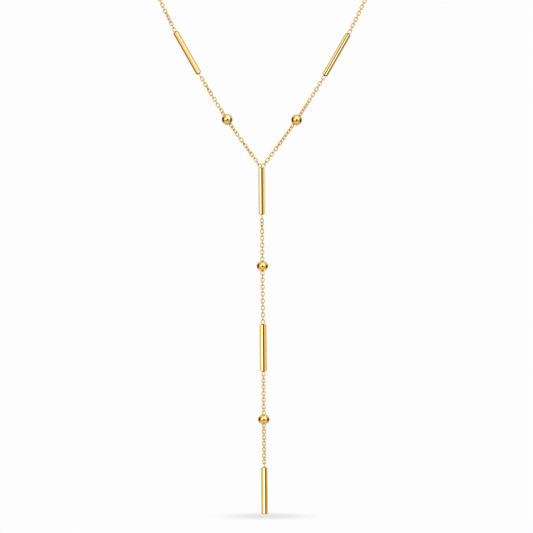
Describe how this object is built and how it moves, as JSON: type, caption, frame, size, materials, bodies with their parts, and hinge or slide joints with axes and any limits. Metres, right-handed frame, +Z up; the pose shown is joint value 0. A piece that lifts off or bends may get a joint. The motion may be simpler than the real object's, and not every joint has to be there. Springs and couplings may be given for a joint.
{
  "type": "y necklace",
  "caption": "Y necklace: a fine gold cable chain round the neck that meets in a V, with a straight drop of bars and beads.",
  "frame": {"origin": "the middle of the clasp, where the loop rests on the nape of the neck", "axes": "+Z up, the drop hangs down; +X to the right as seen in the picture; the V and the drop hang at the front, at -Y"},
  "size_m": [0.1113, 0.0995, 0.2223],
  "materials": {
    "bar_gold": "polished yellow gold",
    "bead_gold": "polished yellow gold",
    "chain_gold": "polished yellow gold wire",
    "clasp_gold": "polished yellow gold"
  },
  "bodies": {
    "root": {"drop_bar_1": "bar_gold", "drop_bar_2": "bar_gold", "drop_bar_3": "bar_gold", "front_bar_left": "bar_gold", "front_bar_right": "bar_gold", "drop_bead_1": "bead_gold", "drop_bead_2": "bead_gold", "front_bead_left": "bead_gold", "front_bead_right": "bead_gold", "drop_chain_1": "chain_gold", "drop_chain_2": "chain_gold", "front_chain_left": "chain_gold", "front_chain_right": "chain_gold", "side_chain_left": "chain_gold", "side_chain_right": "chain_gold", "neck_chain_left": "chain_gold", "neck_chain_right": "chain_gold", "clasp": "clasp_gold"}
  },
  "joints": []
}
